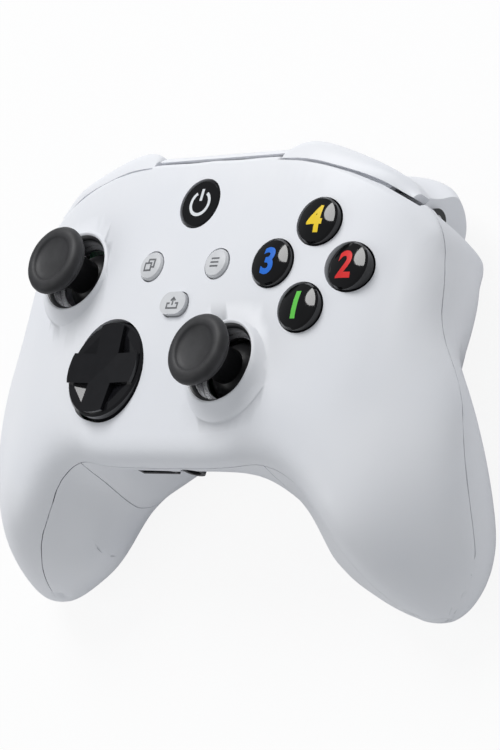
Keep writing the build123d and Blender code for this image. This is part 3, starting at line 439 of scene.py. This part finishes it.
def eased_mesh(node, easing):
    """One part of the housing, laid onto the eased skin and shaded with the skin's own normals."""
    mesh = merged_mesh(f"{node}_eased", (node,))
    skin_normals = []
    for vertex in mesh.vertices:
        vertex.co, normal = easing.lay(vertex.co.copy())
        skin_normals.append(normal)
    mesh.shade_smooth()
    mesh.set_sharp_from_angle(angle=SHARP_ANGLE)
    corners = []
    for face in mesh.polygons:
        for loop in face.loop_indices:
            own = mesh.corner_normals[loop].vector.copy()
            skin = skin_normals[mesh.loops[loop].vertex_index]
            if skin is not None and face.normal.dot(skin.normalized()) > EASED_FACING:
                own = (own * (1.0 - skin.length) + skin).normalized()
            corners.append(own)
    mesh.normals_split_custom_set(corners)
    return mesh


# Rubber caps of the sticks, and dark sleeves of painted shade in their wells

# Middles of the sticks on the face, and the height of their pivots from the face's zero, in millimetres
STICKS = {"left": (-37.8, 14.0), "right": (19.2, -9.8)}
STICK_PIVOT = -11.7
# Outline of a stick's rubber cap over its pivot: dish, rim, side, second ring and neck
CAP_OUTLINE = (
    (0, 18.1), (2.4, 18.15), (4.2, 18.3), (5.2, 18.55), (5.5, 18.8), (5.75, 19.08),
    (6.2, 19.19), (6.9, 19.19), (7.6, 19.0), (8.15, 18.5), (8.5, 17.9), (8.6, 17.3),
    (8.5, 16.85), (8.15, 16.55), (7.75, 16.45), (7.6, 16.3), (7.75, 16.1), (7.75, 15.7),
    (7.5, 15.35), (7.0, 15.15), (6.6, 14.95), (6.4, 14.65), (0, 14.65),
)
# Outline of a dark sleeve that paints shade on the white bore of a stick's well, over the face beside it
SHADE_SLEEVE_OUTLINE = ((9.55, 1.5), (8.76, 0.36), (8.76, -0.05), (8.68, -0.05), (8.68, 0.38), (9.47, 1.54))


def lathe_mesh(name, outline, place, segments=96):
    """A ring or disc turned from an outline of radius and height in millimetres, at a place on the face."""
    made = bmesh.new()
    rings = []
    for radius, height in outline:
        angles = [2 * math.pi * i / segments for i in range(segments)] if radius > 0 else [0.0]
        spots = [(radius * math.cos(angle), radius * math.sin(angle), height) for angle in angles]
        rings.append([made.verts.new(Vector(spot) * MM) for spot in spots])
    for lower, upper in zip(rings, rings[1:] + rings[:1]):
        for i in range(segments):
            j = (i + 1) % segments
            below = [lower[i % len(lower)], lower[j % len(lower)]]
            over = [upper[j % len(upper)], upper[i % len(upper)]]
            face = list(dict.fromkeys(below + over))
            if len(face) > 2:
                made.faces.new(face)
    bmesh.ops.recalc_face_normals(made, faces=made.faces)
    for face in made.faces:
        face.smooth = True
    made.transform(face_matrix(*place))
    return plain_mesh(name, made)


# Contact fingers of the charging port

# How many, how far apart, the width, length and thickness of one, and the place of the row on the face
FINGER_COUNT = 12
FINGER_PITCH = 0.5
FINGER_SIZE = (0.25, 4.0, 0.05)
FINGER_PLACE = (0.0, 38.3, -15.97)


class Grower(Shading):
    """A Geometry Nodes tree with named inputs, which is turned into a plain mesh."""

    def __init__(self, name, sizes):
        super().__init__(bpy.data.node_groups.new(name, "GeometryNodeTree"))
        self.values = {}
        for label, value in sizes.items():
            kind = "NodeSocketInt" if isinstance(value, int) else "NodeSocketFloat"
            socket = self.tree.interface.new_socket(name=label, in_out="INPUT", socket_type=kind)
            self.values[socket.identifier] = value
        self.tree.interface.new_socket(name="Geometry", in_out="OUTPUT", socket_type="NodeSocketGeometry")
        self.given = self.tree.nodes.new("NodeGroupInput")

    def size(self, label):
        return Value(self, self.given.outputs[label])

    def finish(self, geometry, material):
        real = self.node("GeometryNodeRealizeInstances", {}, {"Geometry": geometry})
        clad = self.node("GeometryNodeSetMaterial", {}, {"Geometry": real, "Material": material})
        self.tree.links.new(clad.socket, self.tree.nodes.new("NodeGroupOutput").inputs["Geometry"])

    def mesh(self):
        holder = bpy.data.objects.new(self.tree.name, bpy.data.meshes.new(self.tree.name))
        modifier = holder.modifiers.new(self.tree.name, "NODES")
        modifier.node_group = self.tree
        for identifier, value in self.values.items():
            modifier[identifier] = value
        return evaluated_mesh(holder)


def contact_fingers(material):
    """A row of flat fingers about its own middle."""
    grower = Grower("contact fingers", {
        "Count": FINGER_COUNT, "Pitch": FINGER_PITCH * MM, "Width": FINGER_SIZE[0] * MM,
        "Length": FINGER_SIZE[1] * MM, "Thickness": FINGER_SIZE[2] * MM,
    })
    start = (1 - grower.size("Count")) * grower.size("Pitch") * 0.5
    first = grower.node("ShaderNodeCombineXYZ", {}, {"X": start})
    step = grower.node("ShaderNodeCombineXYZ", {}, {"X": grower.size("Pitch")})
    row = grower.node("GeometryNodeMeshLine", {}, {
        "Count": grower.size("Count"), "Start Location": first, "Offset": step,
    })
    size = grower.node("ShaderNodeCombineXYZ", {}, {
        "X": grower.size("Width"), "Y": grower.size("Length"), "Z": grower.size("Thickness"),
    })
    finger = grower.node("GeometryNodeMeshCube", {}, {"Size": size})
    fingers = grower.node("GeometryNodeInstanceOnPoints", {}, {"Points": row, "Instance": finger})
    grower.finish(fingers, material)
    return grower.mesh()


# Marks printed on the buttons

# Thicknesses of the films, how far they start over a button, the distances at which two points of a film
# or of a numeral's outline are one, and a height well above all buttons, in millimetres
NUMERAL_FILM = 0.04
ICON_FILM = 0.03
FILM_LIFT = 0.01
FILM_WELD = 0.02
OUTLINE_WELD = 0.001
ABOVE_FACE = 30.0


class Surface:
    """The top of one node, found by looking down along the face's normal. Films start just over it."""

    def __init__(self, node):
        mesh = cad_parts[node].data
        points = [vertex.co.copy() for vertex in mesh.vertices]
        self.tree = BVHTree.FromPolygons(points, [tuple(face.vertices) for face in mesh.polygons])

    def point(self, x, y):
        start = from_face(x, y, ABOVE_FACE)
        hit = self.tree.ray_cast(start, -FACE_NORMAL)[0]
        if hit is None:
            raise RuntimeError(f"nothing lies under the mark at {x:.2f}, {y:.2f}")
        return hit + FACE_NORMAL * FILM_LIFT * MM


def film_mesh(name, points, faces, surface, thickness):
    """A thin printed film: flat faces in millimetres of the face, laid on a surface."""
    made = bmesh.new()
    tops = [made.verts.new(surface.point(x, y)) for x, y in points]
    for face in faces:
        made.faces.new([tops[i] for i in face])
    bmesh.ops.remove_doubles(made, verts=made.verts, dist=FILM_WELD * MM)
    bmesh.ops.recalc_face_normals(made, faces=made.faces)
    if sum(face.normal.dot(FACE_NORMAL) for face in made.faces) < 0:
        bmesh.ops.reverse_faces(made, faces=made.faces)
    walls = bmesh.ops.extrude_face_region(made, geom=made.faces[:])
    raised = [item for item in walls["geom"] if isinstance(item, bmesh.types.BMVert)]
    bmesh.ops.translate(made, verts=raised, vec=FACE_NORMAL * thickness * MM)
    bmesh.ops.recalc_face_normals(made, faces=made.faces)
    return plain_mesh(name, made)


def stroke(points, width, closed=False, step=0.35):
    """A band along a line of points: its vertices and faces, in millimetres."""
    line = [Vector(point) for point in points]
    if closed:
        line.append(line[0])
    samples = []
    for first, second in zip(line, line[1:]):
        count = max(1, round((second - first).length / step))
        samples += [first.lerp(second, i / count) for i in range(count)]
    if not closed:
        samples.append(line[-1])
    total = len(samples)
    vertices = []
    for i, point in enumerate(samples):
        if closed:
            before, after = samples[i - 1], samples[(i + 1) % total]
        else:
            before, after = samples[max(i - 1, 0)], samples[min(i + 1, total - 1)]
        arrive = (point - before).normalized() if point != before else (after - point).normalized()
        leave = (after - point).normalized() if after != point else arrive
        along = (arrive + leave).normalized()
        across = Vector((-along.y, along.x))
        reach = width / 2 / max(0.5, along.dot(leave))
        vertices += [tuple(point + across * reach), tuple(point - across * reach)]
    faces = []
    for i in range(total if closed else total - 1):
        j = (i + 1) % total
        faces.append((2 * i, 2 * i + 1, 2 * j + 1, 2 * j))
    return vertices, faces


def join_bands(bands):
    vertices, faces = [], []
    for more_vertices, more_faces in bands:
        start = len(vertices)
        vertices += more_vertices
        faces += [tuple(start + i for i in face) for face in more_faces]
    return vertices, faces


def arc(radius, start, end, count=24):
    angles = [math.radians(start + (end - start) * i / count) for i in range(count + 1)]
    return [(radius * math.cos(angle), radius * math.sin(angle)) for angle in angles]


def shifted(points, x, y):
    return [(px + x, py + y) for px, py in points]


def digit_outline(character, height, weight):
    """The faces of one numeral, centred on zero, in millimetres."""
    curve = bpy.data.curves.new("numeral", "FONT")
    curve.body = character
    curve.align_x = "CENTER"
    curve.align_y = "CENTER"
    curve.size = height
    curve.offset = weight
    curve.resolution_u = 8
    mesh = evaluated_mesh(bpy.data.objects.new("numeral", curve))
    made = bmesh.new()
    made.from_mesh(mesh)
    bmesh.ops.remove_doubles(made, verts=made.verts, dist=OUTLINE_WELD)
    bmesh.ops.triangulate(made, faces=made.faces)
    bmesh.ops.subdivide_edges(made, edges=made.edges, cuts=2, use_grid_fill=True)
    low = [min(vertex.co[i] for vertex in made.verts) for i in (0, 1)]
    high = [max(vertex.co[i] for vertex in made.verts) for i in (0, 1)]
    x, y = [(low[i] + high[i]) / 2 for i in (0, 1)]
    scale = height / (high[1] - low[1])
    made.verts.index_update()
    points = [((vertex.co.x - x) * scale, (vertex.co.y - y) * scale) for vertex in made.verts]
    faces = [tuple(vertex.index for vertex in face.verts) for face in made.faces]
    made.free()
    bpy.data.curves.remove(curve)
    bpy.data.meshes.remove(mesh)
    return points, faces


# Middle of the four face buttons, how far each lies from it, and the middles of the other buttons
CLUSTER = (37.8, 14.0)
CLUSTER_PITCH = 10.2
HOME = (0.0, 29.5)
VIEW = (-10.7, 14.1)
MENU = (10.7, 14.1)
SHARE = (0.0, 4.5)
# The power mark: its radius, its line, its ring's two ends in degrees, and its bar's two ends
POWER_RADIUS = 2.9
POWER_LINE = 0.8
POWER_ENDS = (122.0, 418.0)
POWER_BAR = ((0.0, 0.6), (0.0, 3.6))
# Lines of the small marks, each round its own button's middle
MENU_BARS = tuple(((-1.25, level), (1.25, level)) for level in (-0.95, 0.0, 0.95))
VIEW_FRONT = ((-1.5, -1.3), (0.5, -1.3), (0.5, 0.5), (-1.5, 0.5))
VIEW_BACK = ((-0.5, 0.5), (-0.5, 1.4), (1.4, 1.4), (1.4, -0.5), (0.5, -0.5))
SHARE_TRAY = ((-0.9, -0.1), (-1.7, -0.1), (-1.7, -1.3), (1.7, -1.3), (1.7, -0.1), (0.9, -0.1))
SHARE_STEM = ((0.0, -0.6), (0.0, 1.1))
SHARE_HEAD = ((-0.75, 0.55), (0.0, 1.3), (0.75, 0.55))
NUMERALS = (
    ("bottom_button", "1", (0, -1), "green_colour"),
    ("right_button", "2", (1, 0), "red_colour"),
    ("left_button", "3", (-1, 0), "blue_colour"),
    ("top_button", "4", (0, 1), "yellow_colour"),
)


def icon_piece(name, node, bands, material):
    points, faces = join_bands(bands)
    mesh = film_mesh(name, points, faces, Surface(node), ICON_FILM)
    return add_piece(name, mesh, material, node)


# Properties that a user would change

class GamepadLook(bpy.types.PropertyGroup):
    shell_colour: bpy.props.FloatVectorProperty(
        name="Shell colour", description="Colour of the white housing", subtype="COLOR", size=3,
        default=(0.83, 0.84, 0.87), min=0.0, max=1.0,
    )
    shell_roughness: bpy.props.FloatProperty(
        name="Shell roughness", description="How matt the housing is", default=0.42, min=0.0, max=1.0,
    )
    grain_scale: bpy.props.FloatProperty(
        name="Grain scale", description="How fine the moulded grain of the housing is", default=3200.0,
    )
    grain_depth: bpy.props.FloatProperty(
        name="Grain depth", description="Depth of the moulded grain in millimetres", default=0.02,
    )
    easing_grid: bpy.props.FloatProperty(
        name="Easing grid", description="Spacing of the points that ease the grips, in millimetres",
        default=1.1,
    )
    easing_rounds: bpy.props.IntProperty(
        name="Easing rounds", description="How many times the grips are eased", default=200, min=0,
    )
    rubber_colour: bpy.props.FloatVectorProperty(
        name="Rubber colour", description="Colour of the thumb sticks", subtype="COLOR", size=3,
        default=(0.035, 0.035, 0.038), min=0.0, max=1.0,
    )
    green_colour: bpy.props.FloatVectorProperty(
        name="Numeral 1", description="Colour of the lowest numeral", subtype="COLOR", size=3,
        default=(0.13, 0.60, 0.08), min=0.0, max=1.0,
    )
    red_colour: bpy.props.FloatVectorProperty(
        name="Numeral 2", description="Colour of the numeral at the player's right", subtype="COLOR", size=3,
        default=(0.75, 0.03, 0.03), min=0.0, max=1.0,
    )
    blue_colour: bpy.props.FloatVectorProperty(
        name="Numeral 3", description="Colour of the numeral at the player's left", subtype="COLOR", size=3,
        default=(0.02, 0.17, 0.72), min=0.0, max=1.0,
    )
    yellow_colour: bpy.props.FloatVectorProperty(
        name="Numeral 4", description="Colour of the highest numeral", subtype="COLOR", size=3,
        default=(0.93, 0.66, 0.03), min=0.0, max=1.0,
    )
    numeral_height: bpy.props.FloatProperty(
        name="Numeral height", description="Height of the numerals in millimetres", default=6.6,
    )
    numeral_weight: bpy.props.FloatProperty(
        name="Numeral weight", description="How far the numerals' outlines are thickened, in millimetres",
        default=0.2,
    )
    icon_width: bpy.props.FloatProperty(
        name="Icon line", description="Width of the lines of the small icons in millimetres", default=0.42,
    )


class GamepadStudio(bpy.types.PropertyGroup):
    key_power: bpy.props.FloatProperty(
        name="Key light", description="Power of the large lamp", default=3.2, min=0.0, unit="POWER",
    )
    fill_level: bpy.props.FloatProperty(
        name="Room light", description="Level of the even light from all round", default=0.45, min=0.0,
    )
    mirror_dimming: bpy.props.FloatProperty(
        name="Mirror dimming", description="How much darker the room is in reflections",
        default=0.6, min=0.0, max=1.0, subtype="FACTOR",
    )
    floor_white: bpy.props.FloatProperty(
        name="Floor white", description="Share of plain white that the camera sees in the floor",
        default=0.9, min=0.0, max=1.0, subtype="FACTOR",
    )


# Operators

class GAMEPAD_OT_housing(bpy.types.Operator):
    """Give the housing its moulded white plastic and ease its grips"""
    bl_idname = "gamepad.housing"
    bl_label = "Housing"

    def execute(self, context):
        look = context.scene.gamepad_look
        plastic = shell_finish(look)
        dress(SHELL_NODES, plastic)
        easing = Easing(look.easing_grid, look.easing_rounds)
        for node in EASED_NODES:
            piece = add_piece(f"{node}_eased", eased_mesh(node, easing), plastic, "controller")
            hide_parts(node)
        return {"FINISHED"}


class GAMEPAD_OT_sticks(bpy.types.Operator):
    """Add the rubber caps and the dark sleeves of painted shade in the wells, and give the sticks their
    finishes
    """
    bl_idname = "gamepad.sticks"
    bl_label = "Thumb sticks"

    def execute(self, context):
        look = context.scene.gamepad_look
        rubber = rubber_finish(look)
        dress(RUBBER_NODES, rubber)
        dress(STEM_NODES, satin_finish("stick stem", (0.012, 0.012, 0.013), 0.35))
        dress(LINER_NODES, satin_finish("well liner", (0.05, 0.052, 0.058), 0.4))
        dress(RING_NODES, metal_finish("silver ring", (0.75, 0.76, 0.8), 0.22))
        # A dark finish for the sleeve over the white bore of each well's collar: painted shade inside the well
        painted_shade = satin_finish("well lining", (0.03, 0.031, 0.034), 0.35)
        for side, (x, y) in STICKS.items():
            cap = lathe_mesh(f"{side}_rubber_cap", CAP_OUTLINE, (x, y, STICK_PIVOT))
            piece = add_piece(f"{side}_rubber_cap", cap, rubber, f"{side}_stick")
            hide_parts(f"{side}_stick_cap")
            # The sleeve is painted shade in the top of the well, not a part of the controller
            shade_sleeve = lathe_mesh(f"{side}_well_lining", SHADE_SLEEVE_OUTLINE, (x, y, face_level(x, y)))
            add_piece(f"{side}_well_lining", shade_sleeve, painted_shade, "controller")
        return {"FINISHED"}


class GAMEPAD_OT_buttons(bpy.types.Operator):
    """Give the buttons and the direction pad their finishes"""
    bl_idname = "gamepad.buttons"
    bl_label = "Buttons"

    def execute(self, context):
        dress(GLOSS_NODES, gloss_finish("black gloss", (0.006, 0.006, 0.007)))
        dress(PAD_NODES, gloss_finish("pad gloss", (0.010, 0.010, 0.012), 0.12))
        dress(GREY_NODES, satin_finish("grey button", (0.68, 0.69, 0.71), 0.35))
        return {"FINISHED"}


class GAMEPAD_OT_numerals(bpy.types.Operator):
    """Print a coloured numeral on each face button"""
    bl_idname = "gamepad.numerals"
    bl_label = "Numerals"

    def execute(self, context):
        look = context.scene.gamepad_look
        for node, character, side, colour in NUMERALS:
            x = CLUSTER[0] + side[0] * CLUSTER_PITCH
            y = CLUSTER[1] + side[1] * CLUSTER_PITCH
            points, faces = digit_outline(character, look.numeral_height, look.numeral_weight)
            place = shifted(points, x, y)
            mesh = film_mesh(f"numeral_{character}", place, faces, Surface(node), NUMERAL_FILM)
            ink = satin_finish(f"ink {character}", tuple(getattr(look, colour)), 0.3)
            add_piece(f"numeral_{character}", mesh, ink, node)
        return {"FINISHED"}


class GAMEPAD_OT_icons(bpy.types.Operator):
    """Print the power mark and the small icons"""
    bl_idname = "gamepad.icons"
    bl_label = "Icons"

    def execute(self, context):
        look = context.scene.gamepad_look
        width = look.icon_width
        white = satin_finish("power mark", (0.8, 0.82, 0.85), 0.3)
        grey = satin_finish("icon print", (0.16, 0.165, 0.175), 0.4)
        ring = stroke(shifted(arc(POWER_RADIUS, *POWER_ENDS), *HOME), POWER_LINE)
        bar = stroke(shifted(POWER_BAR, *HOME), POWER_LINE)
        icon_piece("power_icon", "home_button", [ring, bar], white)
        bars = [stroke(shifted(line, *MENU), width) for line in MENU_BARS]
        icon_piece("menu_icon", "menu_button", bars, grey)
        front = stroke(shifted(VIEW_FRONT, *VIEW), width, True)
        back = stroke(shifted(VIEW_BACK, *VIEW), width)
        icon_piece("view_icon", "view_button", [front, back], grey)
        lines = [stroke(shifted(line, *SHARE), width) for line in (SHARE_TRAY, SHARE_STEM, SHARE_HEAD)]
        icon_piece("share_icon", "share_button", lines, grey)
        return {"FINISHED"}


class GAMEPAD_OT_inside(bpy.types.Operator):
    """Give the inner pieces their finishes and add the charging port's contact fingers"""
    bl_idname = "gamepad.inside"
    bl_label = "Inside"

    def execute(self, context):
        dress(BOARD_NODES, board_finish())
        dress(SILICONE_NODES, satin_finish("silicone sheet", (0.42, 0.42, 0.43), 0.55))
        dress(CELL_NODES, cell_finish())
        dress(STEEL_NODES, metal_finish("plain steel", (0.56, 0.56, 0.58), 0.3))
        dress(WEIGHT_NODES, metal_finish("cast weight", (0.42, 0.41, 0.4), 0.4))
        dress(SCREW_NODES, metal_finish("screw steel", (0.3, 0.3, 0.32), 0.28))
        dress(DARK_NODES, satin_finish("dark plastic", (0.02, 0.02, 0.022), 0.45))
        gold = metal_finish("contact gold", (0.83, 0.6, 0.25), 0.25)
        fingers = contact_fingers(gold)
        fingers.transform(face_matrix(*FINGER_PLACE))
        add_piece("usb_contact_fingers", fingers, gold, "controller")
        return {"FINISHED"}


# Camera and studio

# Where the camera stands over the face, in millimetres, and its angles in degrees, which turn it round the
# face's normal, tilt it from looking straight down, and roll it round its own sight
CAMERA_PLACE = (546.92, -213.55, 484.73)
CAMERA_TURN = 68.808
CAMERA_TILT = 48.744
CAMERA_ROLL = -60.284
# Lens and sensor in millimetres, and the end of sight in metres
CAMERA_LENS = 158.9
SENSOR_WIDTH = 36.0
SIGHT_END = 20.0

# Places and width of the lamps in metres, the lamps' shares of the power, and half the floor's width in metres
KEY_PLACE = (-0.3, 0.95, 1.05)
SOFT_PLACE = (-0.9, -0.4, 1.0)
LAMP_TARGET = (0.0, 0.0, 0.03)
LAMP_WIDTH = 0.8
KEY_SHARE = 4.0
SOFT_SHARE = 0.6
FLOOR_REACH = 3.0


class GAMEPAD_OT_studio(bpy.types.Operator):
    """Build the floor, the lamps and the camera"""
    bl_idname = "gamepad.studio"
    bl_label = "Studio"

    def floor(self, studio):
        made = bmesh.new()
        bmesh.ops.create_grid(made, x_segments=1, y_segments=1, size=FLOOR_REACH)
        mesh = plain_mesh("floor", made)
        paper = Finish("floor paper", Roughness=0.9)
        cloud = paper.noise(3.0)
        paper.link(paper.blend(cloud, (0.86, 0.86, 0.87), (0.9, 0.9, 0.91)), "Base Color")
        white = paper.node("ShaderNodeEmission", {}, {"Color": (1.0, 1.0, 1.0, 1.0), "Strength": 1.0})
        seen = paper.node("ShaderNodeLightPath", {}, (), "Is Camera Ray")
        shader = Value(paper, paper.shader.outputs[0])
        mixed = paper.node("ShaderNodeMixShader", {}, (seen * studio.floor_white, shader, white))
        paper.tree.links.new(mixed.socket, paper.tree.nodes["Material Output"].inputs["Surface"])
        mesh.materials.append(paper.material)
        floor = bpy.data.objects.new("floor", mesh)
        bpy.context.scene.collection.objects.link(floor)

    def lamp(self, name, place, power):
        light = bpy.data.lights.new(name, "AREA")
        light.shape = "DISK"
        light.size = LAMP_WIDTH
        light.energy = power
        holder = bpy.data.objects.new(name, light)
        bpy.context.scene.collection.objects.link(holder)
        holder.location = place
        sight = Vector(LAMP_TARGET) - Vector(place)
        holder.rotation_euler = sight.to_track_quat("-Z", "Y").to_euler()

    def room(self, studio):
        world = bpy.data.worlds.new("room")
        bpy.context.scene.world = world
        world.use_nodes = True
        shade = world.node_tree.nodes["Background"]
        shade.inputs["Color"].default_value = (0.95, 0.975, 1.0, 1.0)
        shading = Shading(world.node_tree)
        mirrored = shading.node("ShaderNodeLightPath", {}, (), "Is Glossy Ray")
        level = studio.fill_level * (1.0 - studio.mirror_dimming * mirrored)
        world.node_tree.links.new(level.socket, shade.inputs["Strength"])

    def camera(self):
        data = bpy.data.cameras.new("camera")
        data.lens = CAMERA_LENS
        data.sensor_width = SENSOR_WIDTH
        data.sensor_fit = "AUTO"
        data.clip_end = SIGHT_END
        holder = bpy.data.objects.new("camera", data)
        bpy.context.scene.collection.objects.link(holder)
        turned = Matrix.Rotation(math.radians(CAMERA_TURN), 4, "Z")
        tilted = Matrix.Rotation(math.radians(CAMERA_TILT), 4, "X")
        rolled = Matrix.Rotation(math.radians(CAMERA_ROLL), 4, "Z")
        holder.matrix_world = face_matrix(*CAMERA_PLACE) @ turned @ tilted @ rolled
        bpy.context.scene.camera = holder

    def execute(self, context):
        studio = context.scene.gamepad_studio
        self.floor(studio)
        self.lamp("key lamp", KEY_PLACE, studio.key_power * KEY_SHARE)
        self.lamp("soft lamp", SOFT_PLACE, studio.key_power * SOFT_SHARE)
        self.room(studio)
        self.camera()
        context.scene.view_settings.view_transform = "Standard"
        return {"FINISHED"}


class GAMEPAD_PT_panel(bpy.types.Panel):
    """Lists the pieces and their settings"""
    bl_label = "Gamepad controller"
    bl_idname = "GAMEPAD_PT_panel"
    bl_space_type = "VIEW_3D"
    bl_region_type = "UI"
    bl_category = "Gamepad"

    def draw(self, context):
        for group in (context.scene.gamepad_look, context.scene.gamepad_studio):
            for name in group.bl_rna.properties.keys():
                if name not in ("rna_type", "name"):
                    self.layout.prop(group, name)
        for operator in OPERATORS:
            self.layout.operator(operator.bl_idname)


OPERATORS = (
    GAMEPAD_OT_housing,
    GAMEPAD_OT_sticks,
    GAMEPAD_OT_buttons,
    GAMEPAD_OT_numerals,
    GAMEPAD_OT_icons,
    GAMEPAD_OT_inside,
    GAMEPAD_OT_studio,
)
CLASSES = (GamepadLook, GamepadStudio) + OPERATORS + (GAMEPAD_PT_panel,)


def register():
    for item in CLASSES:
        bpy.utils.register_class(item)
    bpy.types.Scene.gamepad_look = bpy.props.PointerProperty(type=GamepadLook)
    bpy.types.Scene.gamepad_studio = bpy.props.PointerProperty(type=GamepadStudio)


def unregister():
    del bpy.types.Scene.gamepad_look
    del bpy.types.Scene.gamepad_studio
    for item in reversed(CLASSES):
        bpy.utils.unregister_class(item)


def main():
    register()
    for operator in OPERATORS:
        group, name = operator.bl_idname.split(".")
        getattr(getattr(bpy.ops, group), name)()


if __name__ == "__main__":
    main()
